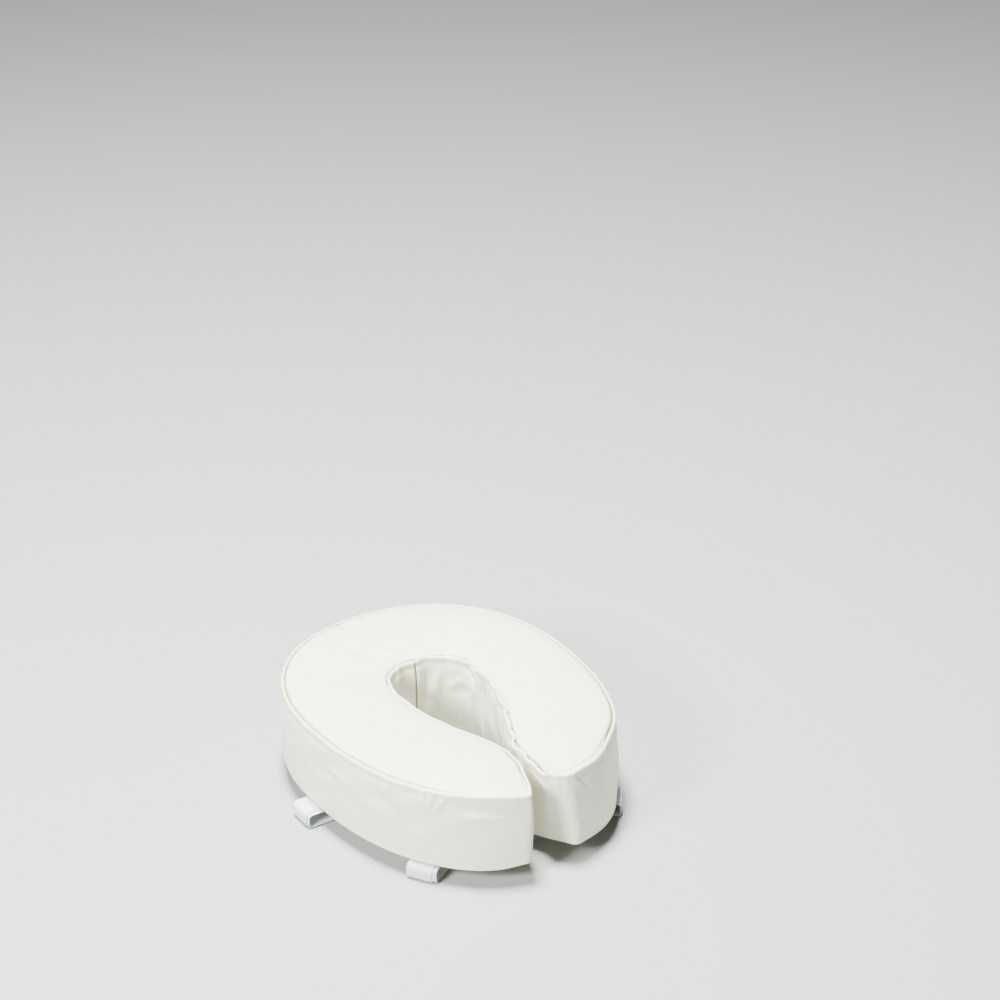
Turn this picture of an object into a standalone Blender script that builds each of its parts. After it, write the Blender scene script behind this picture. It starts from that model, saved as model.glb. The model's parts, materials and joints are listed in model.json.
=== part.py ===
"""Raised toilet seat: a thick horseshoe cushion that is strapped on top of a toilet seat.

Metres, +Z up. The cushion's open front faces -Y. The origin is under its middle, at the level of the
lowest run of the straps, and the cushion's underside lies above that by the height of a strap loop.
"""

from math import cos, pi, radians, sin

import bmesh
import bpy
import numpy as np
from mathutils import Matrix, Vector

# Cushion
seat_width = 0.360
seat_length = 0.452
seat_height = 0.102
widest_behind_middle = 0.030  # the widest line lies this far behind the middle
nose_beyond_corners = 0.006  # the outer curve would end this far ahead of the front corners
outer_power = 2.2  # 2 is an ellipse, more is squarer
corner_reach = 0.009  # how far the rounding of a front corner reaches along each side

# Hole, narrow neck and the mouth that opens to the front
hole_width = 0.114
hole_back_round = 0.060  # from the hole's widest line to its back
back_width = 0.135  # cushion behind the hole
neck_width = 0.010
neck_length = 0.028
mouth_width = 0.068
mouth_length = 0.058
hole_power = 2.3
hole_taper = 1.3
mouth_power = 1.2
neck_gather = 1.5  # gathers the inner outline's points towards the neck, where it bends most
corner_gap = 1.3  # the outline's points keep this many times corner_reach away from a sharp corner

# Cover and foam
cover_thickness = 0.0012
seam_inset = 0.004  # the panel seams lie this far inside the outline
edge_height = 0.006  # height of the cover's rolled edge
foam_edge_radius = 0.007
clearance = 0.0003  # between pieces that touch
joint_offset = 0.004  # the band's visible joint, to the right of the hole's centre line

# Straps, each a strip of webbing with hook tape on its inner face
strap_width = 0.032
webbing_thickness = 0.0012
tape_thickness = 0.0010
tape_shift = 0.0055  # the tape stands out this far on the side towards the front
tab_length = 0.032
tab_start = 0.006  # the strap leaves its sewn tab this far inside the cushion's edge
flap_length = 0.042
fold_room = 0.0025  # from a fold's axis to the ends of the two runs that meet there
ring_width = 0.072
ring_thickness = 0.013
ring_play = 0.002  # looseness of a loop round the toilet seat's ring
patch_margin = 0.0015  # the loop patch is wider than the strap by this on each side
patch_thickness = 0.0010
thread_thickness = 0.0004
stitch_line = 0.0012
stitch_margin = 0.004
window_corner = 2.2  # from a stitched corner to the window beside it, in stitch lines
window_tip = 1.6  # from the middle of the crossed stitching to each window, in stitch lines

# Along each side: how far the loop's outer side stands out past the cushion, and where the strap sits
straps = {
    "middle": {"overhang": 0.0165, "ahead_of_widest": 0.012},
    "front": {"overhang": 0.0055, "behind_front": 0.068},
}

# Derived
back_y = seat_length / 2
front_y = -seat_length / 2
widest_y = widest_behind_middle
hole_back_y = back_y - back_width
hole_widest_y = hole_back_y - hole_back_round
neck_front_y = front_y + mouth_length
neck_back_y = neck_front_y + neck_length
strap_thickness = webbing_thickness + clearance + tape_thickness
top_run_z = -(clearance + strap_thickness / 2)
under_run_z = top_run_z - strap_thickness - ring_thickness - ring_play
flap_z = -(2 * clearance + patch_thickness + strap_thickness / 2)
underside_z = strap_thickness / 2 - under_run_z
top_z = underside_z + seat_height


def clear_scene():
    for obj in list(bpy.data.objects):
        bpy.data.objects.remove(obj, do_unlink=True)


def material(name, colour, roughness):
    made = bpy.data.materials.new(name)
    made.use_nodes = True
    shader = made.node_tree.nodes["Principled BSDF"]
    shader.inputs["Base Color"].default_value = (*colour, 1.0)
    shader.inputs["Roughness"].default_value = roughness
    shader.inputs["Metallic"].default_value = 0.0
    return made


def add_object(name, data, finish, height=0.0, parent=None):
    obj = bpy.data.objects.new(name, data)
    obj.location.z = height
    obj.parent = parent
    data.materials.append(finish)
    parts.objects.link(obj)
    return obj


def outer_x(y):
    """Half width of the cushion's outer curve at y."""
    reach = back_y - widest_y if y > widest_y else widest_y - front_y + nose_beyond_corners
    share = min(abs(y - widest_y) / reach, 1.0)
    return seat_width / 2 * (1 - share**outer_power) ** (1 / outer_power)


def outer_y(x, reach):
    """Distance of the outer curve from the widest line at x, on the side that reaches this far."""
    return reach * (1 - (2 * x / seat_width) ** outer_power) ** (1 / outer_power)


def inner_x(y):
    """Half width of the hole, the neck or the mouth at y."""
    neck = neck_width / 2
    if y > hole_widest_y:
        share = min((y - hole_widest_y) / hole_back_round, 1.0)
        return hole_width / 2 * (1 - share**hole_power) ** (1 / hole_power)
    if y > neck_back_y:
        share = (hole_widest_y - y) / (hole_widest_y - neck_back_y)
        return neck + (hole_width / 2 - neck) * max(cos(pi / 2 * share), 0) ** hole_taper
    share = max(neck_front_y - y, 0) / mouth_length
    return neck + (mouth_width / 2 - neck) * share**mouth_power


def outer_half(steps=30):
    """The right outer curve, from the middle of the back to where the front corner's rounding starts."""
    back = back_y - widest_y
    front = widest_y - front_y + nose_beyond_corners
    corner_angle = np.arccos((mouth_width / seat_width) ** (outer_power / 2))
    points = [(0.0, back_y)]
    for turn in np.linspace(pi / 2, -corner_angle, steps + 1)[1:]:
        x = seat_width / 2 * cos(turn) ** (2 / outer_power)
        reach = back if turn > 0 else -front
        points.append((x, widest_y + reach * abs(sin(turn)) ** (2 / outer_power)))
    return points


def inner_half(mouth_steps=5, steps=9):
    """The right inner curve, from the front corner through the mouth and the neck to the hole's back."""
    taper_length = hole_widest_y - neck_back_y
    mouth = [neck_front_y - mouth_length * share**neck_gather for share in np.linspace(1, 0, mouth_steps + 1)]
    taper = [neck_back_y + taper_length * share**neck_gather for share in np.linspace(0, 1, steps + 1)]
    points = [(inner_x(y), y) for y in [*mouth, *taper]]
    for turn in np.linspace(0, pi / 2, steps + 1)[1:-1]:
        x = hole_width / 2 * cos(turn) ** (2 / hole_power)
        points.append((x, hole_widest_y + hole_back_round * sin(turn) ** (2 / hole_power)))
    return [*points, (0.0, hole_back_y)]


def rounded_corner(before, corner, after, steps=5):
    """A round arc that meets each side at corner_reach from the sharp corner."""
    first = (before - corner).normalized()
    last = (after - corner).normalized()
    half_angle = first.angle(last) / 2
    centre = corner + (first + last).normalized() * corner_reach / cos(half_angle)
    start = corner + first * corner_reach - centre
    turn = start.angle_signed(corner + last * corner_reach - centre)
    return [centre + Matrix.Rotation(-turn * step / steps, 2) @ start for step in range(steps + 1)]


def half_outline():
    outer = [Vector(point) for point in outer_half()]
    inner = [Vector(point) for point in inner_half()]
    front = widest_y - front_y + nose_beyond_corners
    corner = Vector((mouth_width / 2, widest_y - outer_y(mouth_width / 2, front)))
    outer = [point for point in outer if (point - corner).length > corner_reach * corner_gap]
    inner = [point for point in inner if (point - corner).length > corner_reach * corner_gap]
    return [*outer, *rounded_corner(outer[-1], corner, inner[0]), *inner]


def closed_outline():
    """The whole horseshoe: down the right outside, in through the gap, round the hole and back."""
    right = half_outline()
    left = [Vector((-point.x, point.y)) for point in reversed(right[1:-1])]
    return [*right, *left]


def inset(points, distance):
    """Every point of a closed outline moved inwards, square to the line between its neighbours."""
    count = len(points)
    moved = []
    for index, point in enumerate(points):
        along = (points[(index + 1) % count] - points[index - 1]).normalized()
        moved.append(point + Vector((along.y, -along.x)) * distance)
    return moved


def flat_curve(name, loops, thickness):
    """A filled flat shape: the first loop is its edge and the others are holes in it."""
    data = bpy.data.curves.new(name, "CURVE")
    data.dimensions = "2D"
    data.fill_mode = "BOTH"
    data.extrude = thickness / 2
    for loop in loops:
        spline = data.splines.new("POLY")
        spline.points.add(len(loop) - 1)
        for point, place in zip(spline.points, loop):
            point.co = (place[0], place[1], 0.0, 1.0)
        spline.use_cyclic_u = True
    return data


def add_foam_core():
    """One block of foam with rounded edges, a clearance smaller than the inside of the cover."""
    skin = cover_thickness + clearance
    height = seat_height - 2 * skin
    data = flat_curve("foam_core", [inset(outline, skin)], height)
    data.extrude = height / 2 - foam_edge_radius
    data.offset = -foam_edge_radius
    data.bevel_depth = foam_edge_radius
    data.bevel_resolution = 2
    add_object("foam_core", data, foam, underside_z + seat_height / 2)


def add_panels():
    """The flat top and bottom of the cover, up to the seams."""
    shape = [inset(outline, seam_inset + clearance)]
    levels = {"top_panel": top_z - cover_thickness / 2, "bottom_panel": underside_z + cover_thickness / 2}
    for name, level in levels.items():
        add_object(name, flat_curve(name, shape, cover_thickness), vinyl, level)


def rolled_edge(depth, steps=3):
    """From the band's upright wall to its upper seam, at this depth inside the cover's outer surface."""
    across = seam_inset - depth
    up = edge_height - depth
    wall_top = seat_height / 2 - edge_height
    turns = [pi / 2 * step / steps for step in range(steps + 1)]
    return [(seam_inset - across * cos(turn), wall_top + up * sin(turn)) for turn in turns]


def band_section():
    """Cross-section of the side band as a closed curve: distance inwards, then height from the middle."""
    outside = rolled_edge(0.0)
    inside = rolled_edge(cover_thickness)
    outer_face = [(x, -z) for x, z in reversed(outside)] + outside
    inner_face = [(x, -z) for x, z in reversed(inside)] + inside
    data = flat_curve("band_section", [outer_face + inner_face[::-1]], 0.0)
    section = bpy.data.objects.new("band_section", data)
    section.hide_render = True
    section.display_type = "WIRE"
    guides.objects.link(section)
    return section


def add_band(name, path, section):
    """One strip of the side band, with a clearance at each end where it is joined to the other."""
    path = list(path)
    path[0] = path[0] + (path[1] - path[0]).normalized() * clearance
    path[-1] = path[-1] + (path[-2] - path[-1]).normalized() * clearance
    data = flat_curve(name, [path], 0.0)
    data.splines[0].use_cyclic_u = False
    data.fill_mode = "NONE"
    data.bevel_mode = "OBJECT"
    data.bevel_object = section
    data.use_fill_caps = True
    add_object(name, data, vinyl, underside_z + seat_height / 2)


def add_bands():
    section = band_section()
    hole_back = len(half_outline()) - 1
    joint = next(index for index in range(hole_back, 0, -1) if outline[index].x > joint_offset)
    add_band("right_band", outline[: joint + 1], section)
    add_band("left_band", [*outline[joint:], outline[0]], section)


def add_box(name, size, centre, finish, parent):
    mesh = bpy.data.meshes.new(name)
    shape = bmesh.new()
    place = Matrix.Translation(centre) @ Matrix.Diagonal((*size, 1.0))
    bmesh.ops.create_cube(shape, size=1.0, matrix=place)
    shape.to_mesh(mesh)
    shape.free()
    return add_object(name, mesh, finish, 0.0, parent)


def add_empty(name, parent, location, turn=0.0):
    empty = bpy.data.objects.new(name, None)
    empty.empty_display_size = 0.01
    empty.parent = parent
    empty.location = location
    empty.rotation_euler.y = radians(turn)
    parts.objects.link(empty)
    return empty


def strap_place(spec):
    """Where a strap crosses the right edge of the cushion, and the direction outwards there."""
    if "behind_front" in spec:
        y = front_y + spec["behind_front"]
    else:
        y = widest_y - spec["ahead_of_widest"]
    step = 0.001
    slope = (outer_x(y + step) - outer_x(y - step)) / (2 * step)
    return Vector((outer_x(y), y)), Vector((1.0, -slope)).normalized()


def box_stitch(length, width):
    """A sewn square with its two diagonals, as one thin shape with four windows."""
    end, side = length / 2, width / 2
    edge = [(-end, -side), (end, -side), (end, side), (-end, side)]
    loops = [edge]
    for index in range(4):
        a, b = Vector(edge[index]), Vector(edge[(index + 1) % 4])
        middle = (a + b) / 2
        inward = -middle.normalized() * stitch_line
        span = (b - a).normalized() * stitch_line * window_corner
        loops.append([a + inward + span, b + inward - span, middle.normalized() * stitch_line * window_tip])
    return loops


def add_run(name, fold, length, front_side, ends=(fold_room, fold_room)):
    """One straight run of strap in front of a fold: webbing on its outer face and hook tape inside."""
    size = length - ends[0] - ends[1]
    middle = ends[0] + size / 2
    shift = front_side * tape_shift / 2
    webbing_z = (strap_thickness - webbing_thickness) / 2
    tape_z = -(strap_thickness - tape_thickness) / 2
    add_box(name, (size, strap_width, webbing_thickness), (middle, -shift, webbing_z), webbing, fold)
    add_box(name + "_tape", (size, strap_width, tape_thickness), (middle, shift, tape_z), hook_tape, fold)


def add_strap(name, spec, side):
    """A strap as it goes round the toilet seat's ring: side is 1 on the right and -1 on the left."""
    place, outwards = strap_place(spec)
    place.x *= side
    outwards.x *= side
    front_side = -side
    anchor = add_empty(name, None, (*place, underside_z))
    anchor.rotation_euler.z = np.arctan2(outwards.y, outwards.x)

    outer = spec["overhang"] + strap_thickness / 2
    across = ring_width + ring_play + strap_thickness
    drop = top_run_z - under_run_z
    rise = flap_z - under_run_z

    # The tab and its stitching stay on the cushion.
    tab_middle = -tab_start - fold_room - tab_length / 2
    webbing_z = -clearance - webbing_thickness / 2
    shift = front_side * tape_shift / 2
    tab_size = (tab_length, strap_width, webbing_thickness)
    add_box(name + "_tab", tab_size, (tab_middle, -shift, webbing_z), webbing, anchor)
    loops = box_stitch(tab_length - 2 * stitch_margin, strap_width - 2 * stitch_margin)
    stitches = flat_curve(name + "_box_stitch", loops, thread_thickness)
    stitched = add_object(name + "_box_stitch", stitches, thread, 0.0, anchor)
    below = -2 * clearance - webbing_thickness - thread_thickness / 2
    stitched.location = (tab_middle, -shift, below)

    # The loop patch that the flap presses on
    patch_start = outer - across - fold_room - patch_margin
    patch_size = (flap_length + patch_margin, strap_width + tape_shift + 2 * patch_margin, patch_thickness)
    patch_middle = (patch_start - patch_size[0] / 2, 0.0, -clearance - patch_thickness / 2)
    add_box(name + "_patch", patch_size, patch_middle, loop_tape, anchor)

    # The moving runs, each turned about the fold before it
    fold = add_empty(name + "_fold_1", anchor, (-tab_start, 0.0, top_run_z))
    add_run(name + "_top_run", fold, outer + tab_start, front_side)
    fold = add_empty(name + "_fold_2", fold, (outer + tab_start, 0.0, 0.0), 90)
    add_run(name + "_outer_drop", fold, drop, front_side)
    fold = add_empty(name + "_fold_3", fold, (drop, 0.0, 0.0), 90)
    add_run(name + "_under_run", fold, across, front_side)
    fold = add_empty(name + "_fold_4", fold, (across, 0.0, 0.0), 90)
    add_run(name + "_inner_riser", fold, rise, front_side)
    fold = add_empty(name + "_fold_5", fold, (rise, 0.0, 0.0), -90)
    add_run(name + "_flap", fold, flap_length, front_side, (fold_room, 0.0))


clear_scene()
parts = bpy.data.collections.new("raised_toilet_seat")
guides = bpy.data.collections.new("guides")
bpy.context.scene.collection.children.link(parts)
bpy.context.scene.collection.children.link(guides)

vinyl = material("off_white_vinyl", (0.83, 0.83, 0.79), 0.42)
foam = material("cream_foam", (0.85, 0.80, 0.62), 0.95)
webbing = material("pale_webbing", (0.80, 0.83, 0.86), 0.75)
hook_tape = material("pale_hook_tape", (0.74, 0.77, 0.79), 0.85)
loop_tape = material("pale_loop_tape", (0.86, 0.87, 0.86), 0.95)
thread = material("white_thread", (0.88, 0.88, 0.85), 0.6)

outline = closed_outline()
add_foam_core()
add_panels()
add_bands()
for strap, spec in straps.items():
    for side_name, side in (("left", -1), ("right", 1)):
        add_strap(f"{strap}_{side_name}_strap", spec, side)
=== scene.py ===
# Looks of the raised toilet seat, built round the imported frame. Metres, +Z up, open front towards -Y.
import json
from math import cos, pi, radians, sin

import bpy
import numpy as np
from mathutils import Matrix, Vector


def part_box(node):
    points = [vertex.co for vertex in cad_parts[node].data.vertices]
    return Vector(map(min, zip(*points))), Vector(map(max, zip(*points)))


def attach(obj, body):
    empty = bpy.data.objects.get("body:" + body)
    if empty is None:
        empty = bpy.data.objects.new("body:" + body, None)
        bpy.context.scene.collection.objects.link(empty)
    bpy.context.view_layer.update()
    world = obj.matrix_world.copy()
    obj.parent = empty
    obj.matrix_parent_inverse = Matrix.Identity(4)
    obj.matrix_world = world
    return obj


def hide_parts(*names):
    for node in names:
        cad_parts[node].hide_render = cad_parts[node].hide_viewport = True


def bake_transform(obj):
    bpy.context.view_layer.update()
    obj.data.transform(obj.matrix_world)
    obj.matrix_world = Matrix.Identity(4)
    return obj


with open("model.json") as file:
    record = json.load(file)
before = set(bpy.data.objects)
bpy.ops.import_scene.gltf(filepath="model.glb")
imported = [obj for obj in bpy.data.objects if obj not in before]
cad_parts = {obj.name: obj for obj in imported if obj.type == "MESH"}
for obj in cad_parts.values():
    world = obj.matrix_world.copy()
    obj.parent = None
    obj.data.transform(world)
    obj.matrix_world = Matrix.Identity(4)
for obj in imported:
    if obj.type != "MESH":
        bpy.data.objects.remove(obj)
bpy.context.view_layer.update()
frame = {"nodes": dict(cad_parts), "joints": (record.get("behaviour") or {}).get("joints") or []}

scene = bpy.context.scene


def reachOf(name, direction):
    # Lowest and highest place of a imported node's vertices along a direction
    vertices = frame["nodes"][name].data.vertices
    places = np.empty(len(vertices) * 3)
    vertices.foreach_get("co", places)
    along = places.reshape(-1, 3) @ np.array(direction)
    return along.min(), along.max()


def smoothStep(values):
    # 0 below 0, 1 above 1 and an S between them: 3t^2 - 2t^3
    t = np.clip(values, 0.0, 1.0)
    return t * t * (3 - 2 * t)


def bump(values, centre, spread):
    # Bell curve: e to the minus square of the distance from the centre in spreads
    return np.exp(-(((values - centre) / spread) ** 2))


def ripple(values, waves, seed):
    # Sum of a few sines of random phase, with 1/wave strength, scaled to about -1..1
    draw = np.random.default_rng(seed)
    total = np.zeros_like(values, dtype=float)
    for wave in waves:
        total += np.sin(2 * pi * values / wave + draw.uniform(0, 2 * pi)) * draw.uniform(0.6, 1.0)
    return total / len(waves) ** 0.5


def distances(points):
    # How far along a line each of its points lies: the sum of the steps before it
    return np.concatenate([[0.0], np.cumsum(np.linalg.norm(np.diff(points, axis=0), axis=1))])


def resample(points, count):
    # The same line with points at equal distances along it
    along = distances(points)
    wanted = np.linspace(0.0, along[-1], count)
    return np.stack([np.interp(wanted, along, points[:, axis]) for axis in range(points.shape[1])], axis=1)


def gridFaces(rows, columns, wrapColumns=False):
    # Quads between the points of a grid whose point (row, column) has the number row x columns + column
    start = np.arange(rows - 1)[:, None] * columns
    column = np.arange(columns if wrapColumns else columns - 1)[None, :]
    first, second = start + column, start + (column + 1) % columns
    return np.stack([first, second, second + columns, first + columns], axis=-1).reshape(-1, 4)


def weld(points, faces):
    # Points in the same place become one, and quads that lost a corner become triangles
    keys = np.round(points * 2e5).astype(np.int64)
    _, first, where = np.unique(keys, axis=0, return_index=True, return_inverse=True)
    where = where.reshape(-1)
    faces = where[faces]
    same = (faces == np.roll(faces, -1, axis=1)).sum(axis=1)
    whole = faces[same == 0].tolist()
    for face in faces[same == 1].tolist():
        whole.append([corner for place, corner in enumerate(face) if corner != face[place - 1]])
    return points[first], whole, where


def makePiece(name, points, faces, finish, uv=None, fields=None):
    # A smooth mesh object at the origin, with its UV and point attributes
    mesh = bpy.data.meshes.new(name)
    mesh.from_pydata(points.tolist(), [], faces if isinstance(faces, list) else faces.tolist())
    mesh.polygons.foreach_set("use_smooth", np.ones(len(mesh.polygons), dtype=bool))
    if uv is not None:
        corner = np.empty(len(mesh.loops), dtype=np.int32)
        mesh.loops.foreach_get("vertex_index", corner)
        mesh.uv_layers.new(name="UVMap").uv.foreach_set("vector", uv[corner].ravel())
    for label, values in (fields or {}).items():
        mesh.attributes.new(label, "FLOAT", "POINT").data.foreach_set("value", values.astype(np.float32))
    mesh.materials.append(finish)
    piece = bpy.data.objects.new(name, mesh)
    scene.collection.objects.link(piece)
    return piece


def addThickness(piece, thickness):
    # A wall behind an open surface
    wall = piece.modifiers.new("wall", "SOLIDIFY")
    wall.thickness = thickness
    wall.offset = -1.0


class Nodes:
    # Short ways to add and join the nodes of one material
    def __init__(self, name):
        self.material = bpy.data.materials.new(name)
        self.material.use_nodes = True
        self.tree = self.material.node_tree
        self.shader = self.tree.nodes["Principled BSDF"]

    def add(self, kind, values=None, **settings):
        node = self.tree.nodes.new(kind)
        for key, value in settings.items():
            setattr(node, key, value)
        for key, value in (values or {}).items():
            node.inputs[key].default_value = value
        return node

    def join(self, source, target):
        self.tree.links.new(source, target)

    def coordinates(self, kind, scale=(1.0, 1.0, 1.0)):
        place = self.add("ShaderNodeTexCoord")
        mapping = self.add("ShaderNodeMapping", {"Scale": scale})
        self.join(place.outputs[kind], mapping.inputs["Vector"])
        return mapping.outputs["Vector"]

    def texture(self, kind, space, values, **settings):
        node = self.add("ShaderNodeTex" + kind, values, **settings)
        self.join(space, node.inputs["Vector"])
        return node

    def relief(self, height, strength, distance, **settings):
        bumps = self.add("ShaderNodeBump", {"Strength": strength, "Distance": distance}, **settings)
        self.join(height, bumps.inputs["Height"])
        self.join(bumps.outputs["Normal"], self.shader.inputs["Normal"])

    def set(self, **values):
        for key, value in values.items():
            self.shader.inputs[key.replace("_", " ")].default_value = value


def colourMix(nodes, factor, other):
    # A colour Mix node that goes to the other colour as the factor rises; its first colour is input 6
    mix = nodes.add("ShaderNodeMix", {7: other}, data_type="RGBA")
    nodes.join(factor, mix.inputs[0])
    return mix.outputs[2]


def stainedColour(nodes, space, light, dark, scale, attribute=None, shadeAndGrimeColour=None):
    # Two near colours mixed by a soft noise, then darkened where the attribute gives painted shade and some
    # grime
    noise = nodes.texture("Noise", space, {"Scale": scale, "Detail": 4.0, "Roughness": 0.55})
    result = colourMix(nodes, noise.outputs["Fac"], (*dark, 1.0))
    result.node.inputs[6].default_value = (*light, 1.0)
    if attribute:
        shadeAndGrime = nodes.add("ShaderNodeAttribute", attribute_name=attribute)
        second = colourMix(nodes, shadeAndGrime.outputs["Fac"], (*shadeAndGrimeColour, 1.0))
        nodes.join(result, second.node.inputs[6])
        result = second
    nodes.join(result, nodes.shader.inputs["Base Color"])


vinylLook = {
    # the dark seam colour is painted shade with a little grime, for the seams' grooves
    "light": (0.755, 0.76, 0.60), "dark": (0.73, 0.735, 0.57), "seamShadeAndGrime": (0.22, 0.20, 0.11),
    "roughness": (0.36, 0.50), "grain": 0.00012, "grainScale": 900.0,
}


def vinylFinish():
    # Satin vinyl: pebbled grain from cell edges, soft shine that varies, and painted shade with a little
    # grime in the seams and creases
    look = vinylLook
    nodes = Nodes("offWhiteVinyl")
    space = nodes.coordinates("Object")
    stainedColour(nodes, space, look["light"], look["dark"], 7.0, "seamShadeAndGrime", look["seamShadeAndGrime"])
    shine = nodes.texture("Noise", space, {"Scale": 22.0, "Detail": 3.0})
    ranged = nodes.add("ShaderNodeMapRange", {"To Min": look["roughness"][0], "To Max": look["roughness"][1]})
    nodes.join(shine.outputs["Fac"], ranged.inputs["Value"])
    nodes.join(ranged.outputs["Result"], nodes.shader.inputs["Roughness"])
    pebbles = nodes.texture("Voronoi", space, {"Scale": look["grainScale"]}, feature="DISTANCE_TO_EDGE")
    pores = nodes.texture("Noise", space, {"Scale": look["grainScale"] * 0.4, "Detail": 5.0})
    blend = nodes.add("ShaderNodeMath", {1: 0.6}, operation="MULTIPLY_ADD")
    nodes.join(pebbles.outputs["Distance"], blend.inputs[0])
    nodes.join(pores.outputs["Fac"], blend.inputs[2])
    nodes.relief(blend.outputs["Value"], 0.35, look["grain"])
    nodes.set(Coat_Weight=0.06, Coat_Roughness=0.35, Specular_IOR_Level=0.45)
    return nodes.material


def foamFinish():
    # Open cells: small dark pits from a cell pattern, quite matt
    nodes = Nodes("creamFoam")
    space = nodes.coordinates("Object")
    stainedColour(nodes, space, (0.86, 0.80, 0.62), (0.80, 0.72, 0.52), 40.0)
    cells = nodes.texture("Voronoi", space, {"Scale": 700.0})
    nodes.relief(cells.outputs["Distance"], 0.8, 0.0006)
    nodes.set(Roughness=0.95, Specular_IOR_Level=0.2)
    return nodes.material


def webbingFinish():
    # Ribbed weave: sines along and across the strap make over-and-under threads, so many a metre
    nodes = Nodes("paleWebbing")
    stainedColour(nodes, nodes.coordinates("Object"), (0.61, 0.655, 0.71), (0.56, 0.60, 0.66), 90.0)
    space = nodes.coordinates("UV", (900.0, 650.0, 1.0))
    product = nodes.add("ShaderNodeMath", operation="MULTIPLY")
    for number, direction in enumerate("XY"):
        wave = nodes.texture("Wave", space, {"Scale": 0.32, "Distortion": 0.4}, bands_direction=direction)
        nodes.join(wave.outputs["Fac"], product.inputs[number])
    nodes.relief(product.outputs["Value"], 0.6, 0.00035)
    nodes.set(Roughness=0.72, Sheen_Weight=0.15, Sheen_Roughness=0.4, Specular_IOR_Level=0.3)
    return nodes.material


def tapeFinish(name, light, dark, scale, height):
    # Hooks or loops: close round tufts from a cell pattern
    nodes = Nodes(name)
    space = nodes.coordinates("Object")
    stainedColour(nodes, space, light, dark, 300.0)
    tufts = nodes.texture("Voronoi", space, {"Scale": scale, "Randomness": 0.6}, feature="SMOOTH_F1")
    nodes.relief(tufts.outputs["Distance"], 0.9, height, invert=True)
    nodes.set(Roughness=0.9, Sheen_Weight=0.25, Sheen_Roughness=0.5, Specular_IOR_Level=0.25)
    return nodes.material


def threadFinish():
    # Twisted thread: fine slanting waves
    nodes = Nodes("whiteThread")
    space = nodes.coordinates("Object")
    stainedColour(nodes, space, (0.78, 0.78, 0.76), (0.70, 0.70, 0.67), 200.0)
    twist = nodes.texture("Wave", space, {"Scale": 500.0, "Distortion": 1.0}, bands_direction="DIAGONAL")
    nodes.relief(twist.outputs["Fac"], 0.5, 0.0001)
    nodes.set(Roughness=0.55, Sheen_Weight=0.1)
    return nodes.material


vinyl = vinylFinish()
foam = foamFinish()
webbing = webbingFinish()
hookTape = tapeFinish("paleHookTape", (0.57, 0.60, 0.64), (0.49, 0.52, 0.56), 800.0, 0.0006)
loopTape = tapeFinish("paleLoopTape", (0.74, 0.75, 0.74), (0.66, 0.67, 0.66), 600.0, 0.0005)
thread = threadFinish()
print("finishes made")


bandLow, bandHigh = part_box("right_band")
leftLow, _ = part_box("left_band")
undersideZ, topZ = bandLow.z, bandHigh.z
halfWidth = bandHigh.x
backY, frontY = bandHigh.y, min(bandLow.y, leftLow.y)

plan = {
    "outerPower": 2.2,  # 2 is an ellipse
    "widestY": 0.030,
    "noseBeyond": 0.006,  # the outer curve would end this far ahead of the front corners
    "cornerReach": 0.006,
    "holeHalf": 0.057, "holeBack": 0.091, "holeWidest": 0.031,
    "holePower": 2.3, "holeTaper": 1.3,
    "neckHalf": 0.005, "neckBack": -0.140, "neckFront": -0.168,
    "mouthHalf": 0.034, "mouthPower": 1.2,
    "holeDrift": 0.004, "holeSkew": -0.035, "neckDrift": -0.004,  # the foam is a little off centre
    "count": 640,  # stretches along the outside and along the inside
}


def planHalf(side):
    # One half, from the middle of the back round the outside to the front corner, and in round the hole.
    # Superellipse outside, power curve in the mouth, power of a cosine to the neck, superellipse behind
    p = plan
    back, front = backY - p["widestY"], p["widestY"] - frontY + p["noseBeyond"]
    cornerTurn = np.arccos((p["mouthHalf"] / halfWidth) ** (p["outerPower"] / 2))
    turn = np.linspace(pi / 2, -cornerTurn, 600)
    reach = np.where(turn > 0, back, -front)
    outer = np.stack([halfWidth * np.clip(np.cos(turn), 0, 1) ** (2 / p["outerPower"]),
                      p["widestY"] + reach * np.abs(np.sin(turn)) ** (2 / p["outerPower"])], axis=1)
    corner = outer[-1]
    mouthY = np.linspace(corner[1], p["neckFront"], 120)
    mouthX = p["neckHalf"] + (p["mouthHalf"] - p["neckHalf"]) * (
        np.clip((p["neckFront"] - mouthY) / (p["neckFront"] - corner[1]), 0, 1) ** p["mouthPower"])
    neckY = np.linspace(p["neckFront"], p["neckBack"], 60)
    taperY = np.linspace(p["neckBack"], p["holeWidest"], 240)
    share = (p["holeWidest"] - taperY) / (p["holeWidest"] - p["neckBack"])
    taper = np.clip(np.cos(pi / 2 * share), 0, 1) ** p["holeTaper"]
    taperX = p["neckHalf"] + (p["holeHalf"] - p["neckHalf"]) * taper
    quarter = np.linspace(0, pi / 2, 200)
    roundX = p["holeHalf"] * np.clip(np.cos(quarter), 0, 1) ** (2 / p["holePower"])
    roundY = p["holeWidest"] + (p["holeBack"] - p["holeWidest"]) * np.sin(quarter) ** (2 / p["holePower"])
    inner = np.concatenate([
        np.stack([mouthX, mouthY], 1), np.stack([np.full(60, p["neckHalf"]), neckY], 1)[1:],
        np.stack([taperX, taperY], 1)[1:], np.stack([roundX, roundY], 1)[1:]])
    outer, inner = roundCorner(outer, inner, p["cornerReach"])
    scale = np.array([side, 1.0])
    return outer * scale, inner * scale


def roundCorner(outer, inner, reach):
    # An arc through a quadratic curve between the points that lie one reach from the sharp corner
    corner = outer[-1]
    outer = outer[np.linalg.norm(outer - corner, axis=1) > reach]
    inner = inner[np.linalg.norm(inner - corner, axis=1) > reach]
    t = np.linspace(0, 1, 41)[:, None]
    arc = (1 - t) ** 2 * outer[-1] + 2 * t * (1 - t) * corner + t**2 * inner[0]
    return np.concatenate([outer, arc[1:21]]), np.concatenate([arc[20:-1], inner])


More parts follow.
